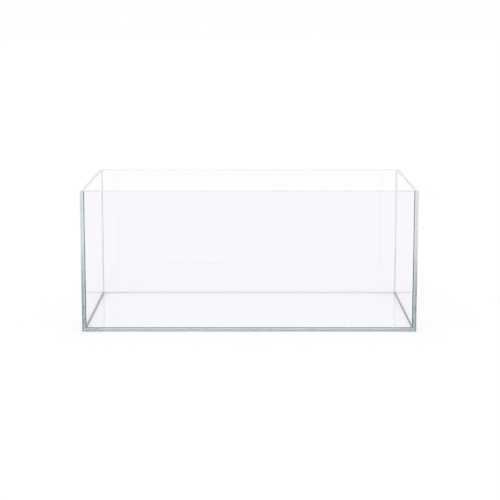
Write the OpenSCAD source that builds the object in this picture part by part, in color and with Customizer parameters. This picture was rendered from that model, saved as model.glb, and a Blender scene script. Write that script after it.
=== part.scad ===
// Rimless glass aquarium tank, in millimetres.
// Front and rear panes cover the ends of the left and right panes, and all four stand around the bottom pane.
// Every joint is a thin bond of clear silicone, sealed on the inside by a coved bead of silicone.
// The origin is on the floor under the middle of the tank: +X to the right, +Y to the rear, +Z up.

/* [Tank] */
// Outside length, from left to right
tank_length = 1200; // [450:10:1800]
// Outside depth, from front to rear
tank_depth = 600; // [250:10:900]
// Outside height
tank_height = 510; // [200:10:800]

/* [Glass] */
// Thickness of the four wall panes
wall_glass = 12; // [6:1:19]
// Thickness of the bottom pane
bottom_glass = 12; // [6:1:19]
// Width of the ground arris along the glass edges
arris = 1; // [0.5:0.1:2]

/* [Silicone] */
// Thickness of the bond between the edge of a pane and the face that it meets
bond = 1; // [0.5:0.1:2]
// Reach of the inner bead along each pane
bead = 3; // [2:0.5:8]
// Thickness of the bead at its two thin edges
bead_toe = 0.3; // [0.2:0.1:0.8]

/* [Hidden] */
// Room between the four walls
inner_length = tank_length - 2 * wall_glass;
inner_depth = tank_depth - 2 * wall_glass;
// Glass that fits between other panes, less a bond at each end
side_depth = inner_depth - 2 * bond;
bottom_length = inner_length - 2 * bond;
bottom_depth = inner_depth - 2 * bond;
// Silicone stops at the arris of the rim
corner_bond_height = tank_height - 2 * arris;
corner_bead_height = tank_height - arris - bottom_glass;
// How far a cutting shape runs past the strip that it cuts
overshoot = 1;
// Facets of a full circle in the bead's cove
$fn = 48;

glass_colour = [0.80, 0.87, 0.88, 0.35];
bond_colour = [0.74, 0.79, 0.80, 0.60];
bead_colour = [0.57, 0.62, 0.63, 0.85];

// Straight runs of a flat outline, centred on the axis that they follow
module along_x(length) {
    translate([-length / 2, 0, 0]) rotate([90, 0, 90]) linear_extrude(length) children();
}

module along_y(length) {
    translate([0, length / 2, 0]) rotate([90, 0, 0]) linear_extrude(length) children();
}

// Rectangle standing on the X axis, with an arris across each corner
module arrised_rectangle(width, height) {
    side = width / 2;
    polygon([
        [-side + arris, 0], [side - arris, 0], [side, arris], [side, height - arris],
        [side - arris, height], [-side + arris, height], [-side, height - arris], [-side, arris]
    ]);
}

// Pane of glass standing on the floor. The edges round its faces are arrised,
// and so are its upright corners unless they stay square to fill a joint.
module pane(size, square_corners = false) {
    intersection() {
        along_x(size.x) arrised_rectangle(size.y, size.z);
        along_y(size.y) arrised_rectangle(size.x, size.z);
        if (!square_corners)
            linear_extrude(size.z) translate([0, -size.y / 2]) arrised_rectangle(size.x, size.y);
    }
}

// Bond of the front left corner: a film between the end of the left pane and the face of the front pane,
// which fills the arrises level with the outer and inner faces of the left pane
module corner_bond() {
    color(bond_colour)
    translate([-tank_length / 2, -inner_depth / 2, arris])
    linear_extrude(corner_bond_height)
    polygon([
        [0, -arris], [arris, 0], [wall_glass, 0], [wall_glass, bond + arris],
        [wall_glass - arris, bond], [arris, bond], [0, bond + arris]
    ]);
}

// Strip along the foot of a wall, between two inner corners, with the outline's X pointing into the tank.
// Both of its ends are mitred in plan.
module mitred_strip(length, reach) {
    end = length / 2;
    top = reach + overshoot;
    intersection() {
        along_x(length) children();
        linear_extrude(tank_height)
        polygon([
            [-end - overshoot, -overshoot], [end + overshoot, -overshoot], [end - top, top], [-end + top, top]
        ]);
    }
}

// Bond between the edge of the bottom pane and a wall, with the bottom's upper arris filled
module floor_bond(length) {
    color(bond_colour)
    mitred_strip(length, bond + arris)
    polygon([
        [0, arris], [bond, arris], [bond, bottom_glass - arris], [bond + arris, bottom_glass], [0, bottom_glass]
    ]);
}

// Cross-section of a bead: a square corner hollowed by a tooled cove, which leaves a thin toe on each pane
module cove() {
    difference() {
        square(bead);
        translate([bead, bead]) circle(r = bead - bead_toe);
    }
}

// Side view of a bead's lower end, which leaves room for the beads along the floor
module mitred_foot(height) {
    side = bead + overshoot;
    polygon([[-overshoot, -overshoot], [side, side], [side, height], [-overshoot, height]]);
}

// Bead up the front left corner, from its mitre on the bottom pane to just below the rim
module corner_bead() {
    color(bead_colour)
    translate([-inner_length / 2, -inner_depth / 2, bottom_glass])
    intersection() {
        linear_extrude(corner_bead_height) cove();
        along_y(2 * (bead + overshoot)) mitred_foot(corner_bead_height + overshoot);
        along_x(2 * (bead + overshoot)) mitred_foot(corner_bead_height + overshoot);
    }
}

// Bead along the foot of a wall, mitred to its neighbours in plan and to the corner beads in height
module floor_bead(length) {
    end = length / 2;
    top = bead + overshoot;
    color(bead_colour)
    translate([0, 0, bottom_glass])
    intersection() {
        mitred_strip(length, bead) cove();
        along_y(2 * top)
        polygon([
            [-end - overshoot, -overshoot], [end + overshoot, -overshoot], [end - top, top], [-end + top, top]
        ]);
    }
}

// Places for what repeats at the four walls: children are drawn at the front wall, its inner face on the X axis
module at_front() { translate([0, -inner_depth / 2, 0]) children(); }
module at_rear() { rotate([0, 0, 180]) translate([0, -inner_depth / 2, 0]) children(); }
module at_left() { rotate([0, 0, -90]) translate([0, -inner_length / 2, 0]) children(); }
module at_right() { rotate([0, 0, 90]) translate([0, -inner_length / 2, 0]) children(); }

module wall_pane(length) {
    color(glass_colour)
    translate([0, -wall_glass / 2, 0]) pane([length, wall_glass, tank_height]);
}

module front_pane() { at_front() wall_pane(tank_length); }
module rear_pane() { at_rear() wall_pane(tank_length); }
module left_pane() { at_left() wall_pane(side_depth); }
module right_pane() { at_right() wall_pane(side_depth); }

module bottom_pane() {
    color(glass_colour) pane([bottom_length, bottom_depth, bottom_glass], square_corners = true);
}

module front_left_bond() { corner_bond(); }
module front_right_bond() { mirror([1, 0, 0]) corner_bond(); }
module rear_left_bond() { mirror([0, 1, 0]) corner_bond(); }
module rear_right_bond() { rotate([0, 0, 180]) corner_bond(); }

module bottom_front_bond() { at_front() floor_bond(inner_length); }
module bottom_rear_bond() { at_rear() floor_bond(inner_length); }
module bottom_left_bond() { at_left() floor_bond(inner_depth); }
module bottom_right_bond() { at_right() floor_bond(inner_depth); }

module front_left_bead() { corner_bead(); }
module front_right_bead() { mirror([1, 0, 0]) corner_bead(); }
module rear_left_bead() { mirror([0, 1, 0]) corner_bead(); }
module rear_right_bead() { rotate([0, 0, 180]) corner_bead(); }

module bottom_front_bead() { at_front() floor_bead(inner_length); }
module bottom_rear_bead() { at_rear() floor_bead(inner_length); }
module bottom_left_bead() { at_left() floor_bead(inner_depth); }
module bottom_right_bead() { at_right() floor_bead(inner_depth); }

front_pane();
rear_pane();
left_pane();
right_pane();
bottom_pane();
front_left_bond();
front_right_bond();
rear_left_bond();
rear_right_bond();
bottom_front_bond();
bottom_rear_bond();
bottom_left_bond();
bottom_right_bond();
front_left_bead();
front_right_bead();
rear_left_bead();
rear_right_bead();
bottom_front_bead();
bottom_rear_bead();
bottom_left_bead();
bottom_right_bead();
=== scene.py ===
"""Looks of a rimless glass aquarium: clear panes with ground arrises, silicone bonds in the joints and
hand-tooled silicone beads in the inner corners, standing on a white studio floor. Metres, +Z up."""
import math

import bpy
import numpy as np
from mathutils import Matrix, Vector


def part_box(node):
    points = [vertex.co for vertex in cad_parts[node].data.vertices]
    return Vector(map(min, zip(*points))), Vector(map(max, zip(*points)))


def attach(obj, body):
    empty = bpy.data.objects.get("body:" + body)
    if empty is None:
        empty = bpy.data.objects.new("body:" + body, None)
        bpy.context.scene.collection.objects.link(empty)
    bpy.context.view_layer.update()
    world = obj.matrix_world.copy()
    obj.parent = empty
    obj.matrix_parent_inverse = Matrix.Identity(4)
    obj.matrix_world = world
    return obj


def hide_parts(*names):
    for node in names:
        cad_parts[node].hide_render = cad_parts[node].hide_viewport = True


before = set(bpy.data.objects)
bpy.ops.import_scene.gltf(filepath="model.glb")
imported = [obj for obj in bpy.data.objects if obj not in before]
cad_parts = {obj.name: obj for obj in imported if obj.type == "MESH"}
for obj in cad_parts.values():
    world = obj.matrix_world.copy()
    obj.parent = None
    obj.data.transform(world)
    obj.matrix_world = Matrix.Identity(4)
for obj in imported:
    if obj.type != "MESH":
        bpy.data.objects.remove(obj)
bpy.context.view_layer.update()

# Camera, fitted to the photograph's rim, corner and floor lines
CAMERA_FROM_FRONT = 4.441
CAMERA_HEIGHT = 1.1576
CAMERA_TILT = 0.1438
CAMERA_LENS_MM = 91.4
CAMERA_SENSOR_MM = 36.0
CAMERA_SHIFT = (0.0016, -0.12)

# Sizes of the tank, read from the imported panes, bonds and beads
FRONT_LOW, FRONT_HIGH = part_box("front_pane")
LEFT_LOW, LEFT_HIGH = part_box("left_pane")
BOND_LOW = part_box("front_left_bond")[0]
BEAD_LOW, BEAD_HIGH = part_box("front_left_bead")
HALF_LENGTH = FRONT_HIGH.x
HALF_DEPTH = -FRONT_LOW.y
HEIGHT = FRONT_HIGH.z
PANE_THICK = LEFT_HIGH.x - LEFT_LOW.x
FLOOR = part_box("bottom_pane")[1].z
INNER_X = HALF_LENGTH - PANE_THICK
INNER_Y = HALF_DEPTH - PANE_THICK
ARRIS = BOND_LOW.z
BOND_THICK = LEFT_LOW.y + INNER_Y
BEAD_REACH = BEAD_HIGH.x - BEAD_LOW.x
# Thickness of a bead at its toes, the same as in the solid bead
BEAD_TOE = 0.0003

# Side of the tank's middle on which each wall stands
SIDE = {"front": -1, "rear": 1, "left": -1, "right": 1}

# Silicone wets the glass: it laps this far into it, so that light passes from one into the other
LAP = 0.00005
# Gap between two silicone ends at a mitre, too narrow to see
MITRE_GAP = 0.00002
# Depth to which a bond is scraped back from the outer faces
SCRAPED = 0.00015

# Fineness of the silicone meshes: points across a bead's hollow, and sections along each kind of strip
HOLLOW_POINTS = 17
CORNER_BEAD_SECTIONS = 161
FLOOR_BEAD_SECTIONS = 321
BOND_SECTIONS = 9
# Faces that meet at more than this angle are shaded with a sharp edge
SHARP_EDGE = math.radians(30)
# UV map of a strip: the run in metres, and the share of its width
CHART = "run_and_width"

# Hand tooling of a bead: share by which it swells and thins, its slow and its quick wave in radians per
# metre, the quick wave's share and lead, and the length at each end over which both die out
TOOLED_SWELL = 0.03
SLOW_WAVE = 41.0
QUICK_WAVE = 97.0
QUICK_SHARE = 0.6
QUICK_LEAD = 2.3
TOOLED_FADE = 6 * BEAD_REACH
# Phase of the first bead's waves, and the step from each bead to the next
FIRST_PHASE = 2.1
PHASE_STEP = 1.7
# Rounded top of an upright bead: its length, and the share of the section's area that is gone at its end
BEAD_TIP = 0.006
TIP_LOSS = 0.85

# Finest relief: grinding of an arris, a bubble at the glass, and the drag of the bead tool
GRIND_DEPTH = 0.00004
BUBBLE_DEPTH = 0.00005
STREAK_DEPTH = 0.00006

# Refraction
GLASS_IOR = 1.5
SILICONE_IOR = 1.41

# Ways in which a mask follows a value
RISING = (0.0, 1.0)
FALLING = (1.0, 0.0)

# Kinds of glass face, told by the parts of the normal: slanted where the largest part stays below the first
# value, upright where the part along z stays below the second
SLANTED_BELOW = 0.9
UPRIGHT_BELOW = 0.3
# An arris this near to a joint is wet with silicone, so its grinding doesn't show
WET_REACH = 2 * ARRIS

# Grinding of the arrises: noise scales of its two grains, their detail, and the range of their product
GRAIN_SCALES = {"Fine Grain": 1400.0, "Slow Grain": 45.0}
FINE_DETAIL = 2.0
SLOW_DETAIL = 3.0
GRAIN_RANGE = (0.1, 0.4)
# Least share of grinding on an arris, and the roughness and colour of a fully ground place
LEAST_GRINDING = 0.7
GROUND_ROUGHNESS = 0.4
GROUND_GLASS = (0.93, 0.945, 0.945, 1)

# Glass: the front pane's faint lilac veil, the other panes' wide faces, the rims, and the share of mirror
# polish on the side panes' rims. The rims are one glass with painted shade, darkest at the rear, lighter at
# the front and clear on the other panes
VEILED_FACE = (0.953, 0.944, 0.977, 1)
CLEAR_FACE = (0.982, 0.979, 0.989, 1)
FRONT_RIM_SHADE = (0.90, 0.905, 0.915, 1)
REAR_RIM_SHADE = (0.62, 0.63, 0.64, 1)
CLEAR_RIM = (0.996, 0.996, 0.997, 1)
SIDE_POLISH = 0.8
# Colour that glass takes over a long path, and the light that reaches the floor through its faces
GLASS_BODY = (0.55, 0.67, 0.65, 1)
GLASS_DENSITY = 0.06
LIGHT_THROUGH_LEVEL = (1, 1, 1, 1)
LIGHT_THROUGH_UPRIGHT = (0.985, 0.985, 0.988, 1)

# Marks in silicone: heights between which the painted shade near the floor dies out, and the scale of the
# bubbles' cells
MARK_SCALES = {"Shade Full Below": 0.15, "Shade Gone Above": 0.32, "Bubble Cells": 210.0}
# Size of a bubble in its cell, from full to none, and the share of cells without one
BUBBLE_SIZE = (0.06, 0.10)
CELLS_WITHOUT = 0.8
# Streaks: noise cells to a metre of the run and over the width, their detail, and the range that is used
STREAKS = (14.0, 9.0, 1.0)
STREAK_DETAIL = 2.0
STREAK_RANGE = (0.3, 0.7)
# Shares of the width between which a strip's outer side ends
OUTER_SIDE = (0.38, 0.52)

# Silicone in the joints: clear colours, and the share of haze by the floor, first on the outer side. Along
# the foot it is an even haze, and up the corners it fades out with height as painted shade near the floor
CORNER_BOND_COLOUR = (0.80, 0.885, 0.857, 1)
CORNER_BOND_SHADE = (0.65, 0.35)
FLOOR_BOND_COLOUR = (0.855, 0.9, 0.915, 1)
FLOOR_BOND_HAZE = (0.40, 0.18)
REAR_BOND_COLOUR = (0.985, 0.987, 0.985, 1)
REAR_BOND_HAZE = (0.1, 0.0)
# Colour of haze in a joint and of the painted shade near the floor, colour and density of the body, and
# roughness in a bubble
BOND_HAZE_AND_SHADE = (0.21, 0.31, 0.315, 1)
BOND_BODY = (0.5, 0.55, 0.57, 1)
BOND_DENSITY = 10.0
BUBBLE_ROUGHNESS = 0.3

# Silicone in the beads: colours of clear places, of hazy streaks and painted shade, and of the body, and
# haze and roughness of streaks
BEAD_CLEAR = (0.98, 0.985, 0.985, 1)
BEAD_HAZE_AND_SHADE = (0.18, 0.19, 0.195, 1)
BEAD_BODY = (0.39, 0.46, 0.455, 1)
STREAK_HAZE = 0.12
STREAK_ROUGHNESS = (0.06, 0.16)
# Density of the beads in the corners and along the foot of the walls, one silicone made darker at the front
# and paler at the rear as painted light and shade, and the painted shade on the front ones by the floor
FRONT_BEAD_DENSITY = 3200.0
FRONT_BEAD_SHADE = 0.5
REAR_BEAD_DENSITY = 260.0
FOOT_BEAD_DENSITY = 1200.0
REAR_FOOT_BEAD_DENSITY = 80.0
# Light that reaches the floor through silicone
LIGHT_THROUGH_SILICONE = (0.3, 0.31, 0.31, 1)

# Studio: its floor just under the tank, level of the surroundings on matt surfaces, and the soft sun
STUDIO_GAP = 0.0004
STUDIO_HALF = 40.0
STUDIO_PAINT = 0.7
STUDIO_WHITE = 1.012
SKY_LEVEL = 0.8
SUN_STRENGTH = 0.6
SUN_ANGLE = math.radians(50)
SUN_TURN = (math.radians(38), 0.0, math.radians(-32))

# Bounces that light needs to pass along a pane from edge to edge
MOST_BOUNCES = 128
GLOSSY_BOUNCES = 96
TRANSMISSION_BOUNCES = 64
TRANSPARENT_BOUNCES = 24


# Silicone shapes

def mesh_piece(name, points, faces, chart):
    """Smooth-shaded object of the given points and faces, sharp at its corners, with one UV pair for each
    point."""
    mesh = bpy.data.meshes.new(name)
    mesh.from_pydata(points.tolist(), [], faces.tolist())
    mesh.polygons.foreach_set("use_smooth", np.ones(len(faces), bool))
    mesh.set_sharp_from_angle(angle=SHARP_EDGE)
    layer = mesh.uv_layers.new(name=CHART)
    layer.uv.foreach_set("vector", chart[faces.ravel()].astype(np.float32).ravel())
    piece = bpy.data.objects.new(name, mesh)
    bpy.context.scene.collection.objects.link(piece)
    return piece


def ladder_faces(sections, rungs):
    """Four-cornered faces of a swept strip whose section is a ladder: each of its rungs joins a point of
    the first rail to a point of the second. Sides join section to section, and the two ends are filled rung
    by rung."""
    count = 2 * rungs
    index = np.arange(sections * count).reshape(sections, count)
    ahead = np.roll(index, -1, axis=1)
    sides = np.stack([index[:-1], ahead[:-1], ahead[1:], index[1:]], axis=-1).reshape(-1, 4)
    rung = np.arange(rungs - 1)
    cap = np.stack([rung, count - 1 - rung, count - 2 - rung, rung + 1], axis=-1)
    return np.concatenate([sides, index[0][cap], index[-1][cap[:, ::-1]]])


def swept(name, rails, axes, origin, start, end, swell, sections):
    """Closed strip. A section (u, v) of two rails is carried along the first axis: point i runs from
    start[i] to end[i], and at run s its positive u and v are multiplied by swell(s). The UV map holds the
    run in metres and the share of the way across the section, from 0 at its first rung to 1 at its last."""
    along, across, up = np.array(axes, float)
    ring = np.concatenate([rails[0], rails[1][::-1]])
    first = np.concatenate([start[0], start[1][::-1]])
    last = np.concatenate([end[0], end[1][::-1]])
    run = first + (last - first) * np.linspace(0, 1, sections)[:, None]
    size = np.where(ring > 0, swell(run)[..., None], 1.0)
    uv = ring * size
    points = np.array(origin) + run[..., None] * along + uv[..., :1] * across + uv[..., 1:] * up
    faces = ladder_faces(sections, len(rails[0]))
    winding = np.cross(ring, np.roll(ring, -1, axis=0)).sum()
    if winding * np.linalg.det([along, across, up]) < 0:
        faces = faces[:, ::-1]
    reach = np.cumsum(np.linalg.norm(np.diff(rails[0], axis=0, prepend=rails[0][:1]), axis=1))
    share = np.concatenate([reach, reach[::-1]]) / reach[-1]
    chart = np.stack([run, np.broadcast_to(share, run.shape)], axis=-1).reshape(-1, 2)
    return mesh_piece(name, points.reshape(-1, 3), faces, chart)


def cove_rails():
    """Section of a bead in its corner: the first rail follows the two panes from toe to toe, and the second
    is the quarter circle that hollows the bead."""
    turn = np.linspace(1.5 * math.pi, math.pi, HOLLOW_POINTS)
    hollow = BEAD_REACH + (BEAD_REACH - BEAD_TOE) * np.stack([np.cos(turn), np.sin(turn)], axis=-1)
    share = np.linspace(0, 2, HOLLOW_POINTS)[:, None]
    legs = np.concatenate([np.clip(1 - share, 0, 1), np.clip(share - 1, 0, 1)], axis=1)
    panes = legs * (BEAD_REACH + LAP) - LAP
    return np.array([panes, hollow])


def tooled(length, phase):
    """Swell of a bead along its run: 1 plus a few per cent of a slow and a quick sine wave, which die out
    towards the mitred ends."""
    def swell(run):
        fade = np.clip(np.minimum(run, length - run) / TOOLED_FADE, 0, 1)
        wave = np.sin(run * SLOW_WAVE + phase) + QUICK_SHARE * np.sin(run * QUICK_WAVE + QUICK_LEAD * phase)
        return 1 + TOOLED_SWELL * wave * fade
    return swell


def tooled_to_a_tip(length, phase):
    """Swell of an upright bead: tooled along its run, and rounded off just below the rim, where it shrinks
    as the root of 1 less a share of the squared way into the tip."""
    by_hand = tooled(length, phase)

    def swell(run):
        past = np.clip((run - (length - BEAD_TIP)) / BEAD_TIP, 0, 1)
        return by_hand(run) * np.sqrt(1 - TIP_LOSS * past ** 2)
    return swell


def level(run):
    """Swell of a strip that keeps its section."""
    return np.ones_like(run)


def upright_place(side_x, side_y, x, y, z):
    """Axes and origin of a strip up a corner: the run goes up, u and v go into the tank."""
    return ((0, 0, 1), (-side_x, 0, 0), (0, -side_y, 0)), (side_x * x, side_y * y, z)


def level_place(wall, z):
    """Axes, origin and length of a strip along the foot of a wall: u goes into the tank and v goes up."""
    side = SIDE[wall]
    if wall in ("front", "rear"):
        return ((1, 0, 0), (0, -side, 0), (0, 0, 1)), (-INNER_X, side * INNER_Y, z), 2 * INNER_X
    return ((0, 1, 0), (-side, 0, 0), (0, 0, 1)), (side * INNER_X, -INNER_Y, z), 2 * INNER_Y


def corner_bead(name, side_x, side_y, phase):
    """Bead up an inner corner: mitred at its foot, rounded at its top."""
    rails = cove_rails()
    axes, origin = upright_place(side_x, side_y, INNER_X, INNER_Y, FLOOR)
    length = BEAD_HIGH.z - FLOOR
    foot = rails.max(axis=2) + MITRE_GAP
    top = np.full_like(foot, length)
    swell = tooled_to_a_tip(length, phase)
    return swept(name, rails, axes, origin, foot, top, swell, CORNER_BEAD_SECTIONS)


def floor_bead(name, wall, phase):
    """Bead along the foot of a wall, mitred at both ends."""
    rails = cove_rails()
    axes, origin, length = level_place(wall, FLOOR)
    mitre = rails.max(axis=2) + MITRE_GAP
    swell = tooled(length, phase)
    return swept(name, rails, axes, origin, mitre, length - mitre, swell, FLOOR_BEAD_SECTIONS)


def corner_bond(name, side_x, side_y):
    """Film between the end of a side pane and the face of the front or rear pane. It widens to both sides,
    where it fills the arrises, and its lap into a slanted arris is measured straight across."""
    slant = LAP * math.sqrt(2)
    across = np.array([SCRAPED, ARRIS, PANE_THICK - ARRIS, PANE_THICK])
    by_face = np.array([SCRAPED - ARRIS - slant, -LAP, -LAP, -LAP])
    by_end = BOND_THICK + np.array([ARRIS - SCRAPED + slant, LAP, LAP, ARRIS + slant])
    rails = np.array([np.stack([across, by_face], axis=1), np.stack([across, by_end], axis=1)])
    axes, origin = upright_place(side_x, side_y, HALF_LENGTH, INNER_Y, ARRIS)
    foot = np.zeros(rails.shape[:2])
    return swept(name, rails, axes, origin, foot, foot + HEIGHT - 2 * ARRIS, level, BOND_SECTIONS)


def floor_bond(name, wall):
    """Film between an edge of the bottom pane and a wall, with the upper arris filled, mitred in plan."""
    heights = np.array([ARRIS, FLOOR - ARRIS, FLOOR])
    by_wall = np.full_like(heights, -LAP)
    by_bottom = np.array([BOND_THICK, BOND_THICK, BOND_THICK + ARRIS]) + LAP
    rails = np.array([np.stack([by_wall, heights], axis=1), np.stack([by_bottom, heights], axis=1)])
    axes, origin, length = level_place(wall, 0)
    mitre = rails[..., 0] + MITRE_GAP
    return swept(name, rails, axes, origin, mitre, length - mitre, level, BOND_SECTIONS)


# Nodes

def add(tree, kind, inputs=None, **settings):
    """New node of a kind with its settings. An input that is a socket is linked, and any other is set."""
    made = tree.nodes.new("ShaderNode" + kind)
    for name, value in settings.items():
        setattr(made, name, value)
    for name, value in (inputs or {}).items():
        if isinstance(value, bpy.types.NodeSocket):
            tree.links.new(value, made.inputs[name])
        else:
            made.inputs[name].default_value = value
    return made


def work_out(tree, operation, *values):
    """Result of a mathematical operation on sockets or numbers."""
    return add(tree, "Math", dict(enumerate(values)), operation=operation).outputs["Value"]


def between(tree, factor, low, high):
    """Colour that goes from low to high as the factor goes from 0 to 1."""
    return add(tree, "Mix", {"Factor": factor, "A": low, "B": high}, data_type="RGBA").outputs["Result"]


def carry_over(tree, value, from_range, to_range):
    """The value's range carried over to another range, and held at its ends."""
    ends = dict(zip(("From Min", "From Max", "To Min", "To Max"), (*from_range, *to_range)))
    return add(tree, "MapRange", {"Value": value, **ends}).outputs["Result"]


def relief(tree, height, depth):
    """Normal of a surface whose height, from 0 to 1, stands for a depth in metres."""
    return add(tree, "Bump", {"Height": height, "Distance": depth}).outputs["Normal"]


def new_group(name, inputs, outputs):
    """Empty shader node group with the named inputs and outputs, each a single value, and the sockets that
    its inputs come in by."""
    group = bpy.data.node_groups.new(name, "ShaderNodeTree")
    for way, names in (("INPUT", inputs), ("OUTPUT", outputs)):
        for socket in names:
            group.interface.new_socket(socket, in_out=way, socket_type="NodeSocketFloat")
    return group, group.nodes.new("NodeGroupInput").outputs


def put_out(group, **values):
    """Links a group's results to its outputs."""
    end = group.nodes.new("NodeGroupOutput")
    for name, socket in values.items():
        group.links.new(socket, end.inputs[name])


def placed(tree, group, inputs):
    """Outputs of a group that is placed in a material with the given values for its inputs."""
    return add(tree, "Group", inputs, node_tree=group).outputs


def edge_finish_group():
    """Finish of the glass edges, from the scales of two grains. Ground is 1 on the bare arrises, where the
    normal lies along none of the three axes. The arrises that silicone wets are left out: upright ones
    inside the corner joints and the bottom's upper ones. Grain is the uneven grinding, from 0 to 1, and
    Upright is 1 on upright faces."""
    group, given = new_group("edge_finish", GRAIN_SCALES, ("Ground", "Grain", "Upright"))
    normal = add(group, "NewGeometry").outputs["True Normal"]
    size = add(group, "VectorMath", {0: normal}, operation="ABSOLUTE").outputs["Vector"]
    part = add(group, "SeparateXYZ", {"Vector": size}).outputs
    largest = work_out(group, "MAXIMUM", work_out(group, "MAXIMUM", part["X"], part["Y"]), part["Z"])
    slanted = work_out(group, "LESS_THAN", largest, SLANTED_BELOW)
    upright = work_out(group, "LESS_THAN", part["Z"], UPRIGHT_BELOW)

    place = add(group, "TexCoord").outputs["Object"]
    spot = add(group, "SeparateXYZ", {"Vector": place}).outputs
    in_corner = work_out(group, "LESS_THAN", work_out(group, "ABSOLUTE", spot["Y"]), INNER_Y + WET_REACH)
    by_floor = work_out(group, "COMPARE", spot["Z"], FLOOR, WET_REACH)
    wet = work_out(group, "MAXIMUM", work_out(group, "MULTIPLY", upright, in_corner), by_floor)
    bare = work_out(group, "SUBTRACT", slanted, work_out(group, "MULTIPLY", slanted, wet))

    fine = add(group, "TexNoise", {"Vector": place, "Scale": given["Fine Grain"], "Detail": FINE_DETAIL})
    slow = add(group, "TexNoise", {"Vector": place, "Scale": given["Slow Grain"], "Detail": SLOW_DETAIL})
    both = work_out(group, "MULTIPLY", fine.outputs["Fac"], slow.outputs["Fac"])
    put_out(group, Ground=bare, Grain=carry_over(group, both, GRAIN_RANGE, RISING), Upright=upright)
    return group


def silicone_marks_group():
    """Marks in silicone, from the heights between which its painted shade near the floor dies out and the
    scale of its bubbles. Streak is the drag of the tool along the run, Outer is 1 along the strip's side
    that faces out of the tank, Low falls from 1 near the floor to 0 at mid-height and masks the painted
    shade near the floor, and Bubble is 1 inside a trapped bubble."""
    group, given = new_group("silicone_marks", MARK_SCALES, ("Streak", "Outer", "Low", "Bubble"))
    chart = add(group, "UVMap", uv_map=CHART).outputs["UV"]
    drawn = add(group, "Mapping", {"Vector": chart, "Scale": STREAKS}).outputs["Vector"]
    streak = add(group, "TexNoise", {"Vector": drawn, "Scale": 1.0, "Detail": STREAK_DETAIL}).outputs["Fac"]
    width = add(group, "SeparateXYZ", {"Vector": chart}).outputs["Y"]
    outer = carry_over(group, width, OUTER_SIDE, FALLING)

    place = add(group, "TexCoord").outputs["Object"]
    height = add(group, "SeparateXYZ", {"Vector": place}).outputs["Z"]
    low = carry_over(group, height, (given["Shade Full Below"], given["Shade Gone Above"]), FALLING)

    cell = add(group, "TexVoronoi", {"Vector": place, "Scale": given["Bubble Cells"]}).outputs
    chance = add(group, "SeparateColor", {"Color": cell["Color"]}).outputs["Red"]
    inside = carry_over(group, cell["Distance"], BUBBLE_SIZE, FALLING)
    bubble = work_out(group, "MULTIPLY", inside, work_out(group, "GREATER_THAN", chance, CELLS_WITHOUT))
    put_out(group, Streak=streak, Outer=outer, Low=low, Bubble=bubble)
    return group


# Materials

def new_material(name):
    """Empty node material."""
    material = bpy.data.materials.new(name)
    material.use_nodes = True
    material.node_tree.nodes.clear()
    return material, material.node_tree


def clear_surface(tree, shader, light_through, body, density):
    """Output of a see-through material. The light that falls on the floor passes straight through with a
    loss, every other ray meets the shader, and the body absorbs light along its way."""
    path = add(tree, "LightPath").outputs
    to_floor = work_out(tree, "MAXIMUM", path["Is Shadow Ray"], path["Is Diffuse Ray"])
    straight = add(tree, "BsdfTransparent", {"Color": light_through}).outputs["BSDF"]
    surface = add(tree, "MixShader", {"Fac": to_floor, 1: shader.outputs["BSDF"], 2: straight})
    volume = add(tree, "VolumeAbsorption", {"Color": body, "Density": density})
    add(tree, "OutputMaterial", {"Surface": surface.outputs["Shader"], "Volume": volume.outputs["Volume"]})


def glass_material(name, edge_finish, wide_face, rim, polish=None):
    """Clear low-iron float glass: polished faces, ground arrises, and a faint body colour over long paths.
    Where a share of mirror polish is given, the level edges, rim and foot, take it."""
    material, tree = new_material(name)
    edge = placed(tree, edge_finish, GRAIN_SCALES)
    uneven = carry_over(tree, edge["Grain"], RISING, (LEAST_GRINDING, 1.0))
    ground = work_out(tree, "MULTIPLY", edge["Ground"], uneven)
    # The level edges take the rim colour, which is painted shade
    face = between(tree, edge["Upright"], rim, wide_face)
    finish = {
        "Base Color": between(tree, ground, face, GROUND_GLASS),
        "Roughness": work_out(tree, "MULTIPLY", ground, GROUND_ROUGHNESS),
        "IOR": GLASS_IOR,
        "Transmission Weight": 1.0,
        "Normal": relief(tree, ground, GRIND_DEPTH),
    }
    if polish:
        finish["Coat Weight"] = carry_over(tree, edge["Upright"], RISING, (polish, 0.0))
        finish["Coat Roughness"] = 0.0
        finish["Coat IOR"] = GLASS_IOR
    shader = add(tree, "BsdfPrincipled", finish)
    light_through = between(tree, edge["Upright"], LIGHT_THROUGH_LEVEL, LIGHT_THROUGH_UPRIGHT)
    clear_surface(tree, shader, light_through, GLASS_BODY, GLASS_DENSITY)
    return material


def bond_material(name, silicone_marks, clear, outer_haze_and_shade, core_haze_and_shade):
    """Silicone in a joint, with small trapped bubbles. It has the clear colour in its upper half, and
    towards the floor it is darker, more so along its outer side: an even haze along the foot, and painted
    shade near the floor up the corners."""
    material, tree = new_material(name)
    marks = placed(tree, silicone_marks, MARK_SCALES)
    share = carry_over(tree, marks["Outer"], RISING, (core_haze_and_shade, outer_haze_and_shade))
    haze_and_shade = work_out(tree, "MULTIPLY", share, marks["Low"])
    shader = add(tree, "BsdfPrincipled", {
        "Base Color": between(tree, haze_and_shade, clear, BOND_HAZE_AND_SHADE),
        "Roughness": work_out(tree, "MULTIPLY", marks["Bubble"], BUBBLE_ROUGHNESS),
        "IOR": SILICONE_IOR,
        "Transmission Weight": 1.0,
        "Normal": relief(tree, marks["Bubble"], BUBBLE_DEPTH),
    })
    clear_surface(tree, shader, LIGHT_THROUGH_SILICONE, BOND_BODY, BOND_DENSITY)
    return material


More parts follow.
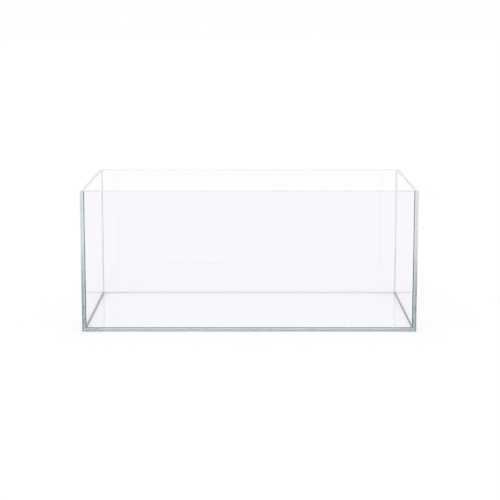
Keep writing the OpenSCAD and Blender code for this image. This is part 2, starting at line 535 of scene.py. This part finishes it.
def bead_material(name, silicone_marks, density, floor_shade_share=0.0):
    """Translucent silicone with the streaks of the tool that drew it: darker the thicker it lies, and with
    the given painted shade towards the floor."""
    material, tree = new_material(name)
    marks = placed(tree, silicone_marks, MARK_SCALES)
    streak = carry_over(tree, marks["Streak"], STREAK_RANGE, (0.0, STREAK_HAZE))
    haze_and_shade = work_out(tree, "ADD", streak, work_out(tree, "MULTIPLY", marks["Low"], floor_shade_share))
    shader = add(tree, "BsdfPrincipled", {
        "Base Color": between(tree, haze_and_shade, BEAD_CLEAR, BEAD_HAZE_AND_SHADE),
        "Roughness": carry_over(tree, marks["Streak"], STREAK_RANGE, STREAK_ROUGHNESS),
        "IOR": SILICONE_IOR,
        "Transmission Weight": 1.0,
        "Normal": relief(tree, marks["Streak"], STREAK_DEPTH),
    })
    clear_surface(tree, shader, LIGHT_THROUGH_SILICONE, BEAD_BODY, density)
    return material


def seen_by_eye(tree):
    """1 for camera rays and for rays that reach the camera by a mirror image or through glass."""
    path = add(tree, "LightPath").outputs
    direct = work_out(tree, "MAXIMUM", path["Is Camera Ray"], path["Is Glossy Ray"])
    return work_out(tree, "MAXIMUM", direct, path["Is Transmission Ray"])


def floor_material():
    """White studio floor, lifted to white where it is seen and still darkened by the tank's shadow."""
    material, tree = new_material("studio_floor")
    lit = SKY_LEVEL + SUN_STRENGTH * math.cos(SUN_TURN[0]) / math.pi
    paint = add(tree, "BsdfDiffuse", {"Color": (STUDIO_PAINT, STUDIO_PAINT, STUDIO_PAINT, 1)})
    lift = work_out(tree, "MULTIPLY", seen_by_eye(tree), STUDIO_WHITE - STUDIO_PAINT * lit)
    glow = add(tree, "Emission", {"Strength": lift})
    both = add(tree, "AddShader", {0: paint.outputs["BSDF"], 1: glow.outputs["Emission"]})
    add(tree, "OutputMaterial", {"Surface": both.outputs["Shader"]})
    return material


# Stage

def camera():
    """Camera in front of the tank, at the photograph's viewing angle."""
    data = bpy.data.cameras.new("camera")
    data.sensor_width = CAMERA_SENSOR_MM
    data.lens = CAMERA_LENS_MM
    data.shift_x, data.shift_y = CAMERA_SHIFT
    holder = bpy.data.objects.new("camera", data)
    holder.location = (0, -HALF_DEPTH - CAMERA_FROM_FRONT, CAMERA_HEIGHT)
    holder.rotation_euler = (math.pi / 2 - CAMERA_TILT, 0, 0)
    bpy.context.scene.collection.objects.link(holder)
    bpy.context.scene.camera = holder


def studio():
    """White floor, even white surroundings and one wide soft sun from the upper left."""
    corners = np.array([[-1, -1, 0], [1, -1, 0], [1, 1, 0], [-1, 1, 0]]) * STUDIO_HALF - [0, 0, STUDIO_GAP]
    mesh = bpy.data.meshes.new("studio_floor")
    mesh.from_pydata(corners.tolist(), [], [(0, 1, 2, 3)])
    mesh.materials.append(floor_material())
    floor = bpy.data.objects.new("studio_floor", mesh)
    bpy.context.scene.collection.objects.link(floor)

    world = bpy.data.worlds.new("studio")
    world.use_nodes = True
    tree = world.node_tree
    tree.nodes.clear()
    strength = carry_over(tree, seen_by_eye(tree), RISING, (SKY_LEVEL, 1.0))
    sky = add(tree, "Background", {"Color": (1, 1, 1, 1), "Strength": strength})
    add(tree, "OutputWorld", {"Surface": sky.outputs["Background"]})
    bpy.context.scene.world = world

    sun = bpy.data.lights.new("soft_sun", "SUN")
    sun.energy = SUN_STRENGTH
    sun.angle = SUN_ANGLE
    holder = bpy.data.objects.new("soft_sun", sun)
    holder.rotation_euler = SUN_TURN
    bpy.context.scene.collection.objects.link(holder)


def picture():
    """Plain view transform, and bounces enough for the glass."""
    scene = bpy.context.scene
    scene.view_settings.view_transform = "Standard"
    scene.cycles.max_bounces = MOST_BOUNCES
    scene.cycles.glossy_bounces = GLOSSY_BOUNCES
    scene.cycles.transmission_bounces = TRANSMISSION_BOUNCES
    scene.cycles.transparent_max_bounces = TRANSPARENT_BOUNCES


# Tank

def glaze():
    """Glass on the five packed panes."""
    edge_finish = edge_finish_group()
    side_glass = glass_material("side_glass", edge_finish, CLEAR_FACE, CLEAR_RIM, SIDE_POLISH)
    glass = {
        "front": glass_material("front_glass", edge_finish, VEILED_FACE, FRONT_RIM_SHADE),
        "rear": glass_material("rear_glass", edge_finish, CLEAR_FACE, REAR_RIM_SHADE),
        "left": side_glass,
        "right": side_glass,
        "bottom": glass_material("floor_glass", edge_finish, CLEAR_FACE, CLEAR_RIM),
    }
    for name, material in glass.items():
        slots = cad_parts[f"{name}_pane"].data.materials
        slots.clear()
        slots.append(material)


def dress(piece, node, material):
    """A new piece that stands for a CAD node: its finish and the body that it rides on."""
    piece.data.materials.append(material)
    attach(piece, "root")
    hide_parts(node)


def seal():
    """Silicone in every joint and inner corner: first the four uprights, then the foot of each wall."""
    marks = silicone_marks_group()
    shaded_corner = bond_material("corner_bond_painted_shade", marks, CORNER_BOND_COLOUR, *CORNER_BOND_SHADE)
    hazy_floor = bond_material("hazy_floor_bond", marks, FLOOR_BOND_COLOUR, *FLOOR_BOND_HAZE)
    clear_bond = bond_material("clear_bond", marks, REAR_BOND_COLOUR, *REAR_BOND_HAZE)
    front_bead = bead_material("front_bead", marks, FRONT_BEAD_DENSITY, FRONT_BEAD_SHADE)
    rear_bead = bead_material("rear_bead", marks, REAR_BEAD_DENSITY)
    foot_bead = bead_material("foot_bead", marks, FOOT_BEAD_DENSITY)
    rear_foot_bead = bead_material("rear_foot_bead", marks, REAR_FOOT_BEAD_DENSITY)
    corner_finish = {"front": (shaded_corner, front_bead), "rear": (clear_bond, rear_bead)}
    foot_finish = {"front": (hazy_floor, foot_bead), "rear": (clear_bond, rear_foot_bead),
                   "left": (hazy_floor, foot_bead), "right": (hazy_floor, foot_bead)}

    phase = FIRST_PHASE
    for face, (bond, bead) in corner_finish.items():
        for hand in ("left", "right"):
            corner = f"{face}_{hand}"
            film = corner_bond(f"{corner}_film", SIDE[hand], SIDE[face])
            cove = corner_bead(f"{corner}_cove", SIDE[hand], SIDE[face], phase)
            dress(film, f"{corner}_bond", bond)
            dress(cove, f"{corner}_bead", bead)
            phase += PHASE_STEP
    for wall, (bond, bead) in foot_finish.items():
        foot = f"bottom_{wall}"
        film = floor_bond(f"{foot}_film", wall)
        cove = floor_bead(f"{foot}_cove", wall, phase)
        dress(film, f"{foot}_bond", bond)
        dress(cove, f"{foot}_bead", bead)
        phase += PHASE_STEP


camera()
studio()
picture()
glaze()
seal()
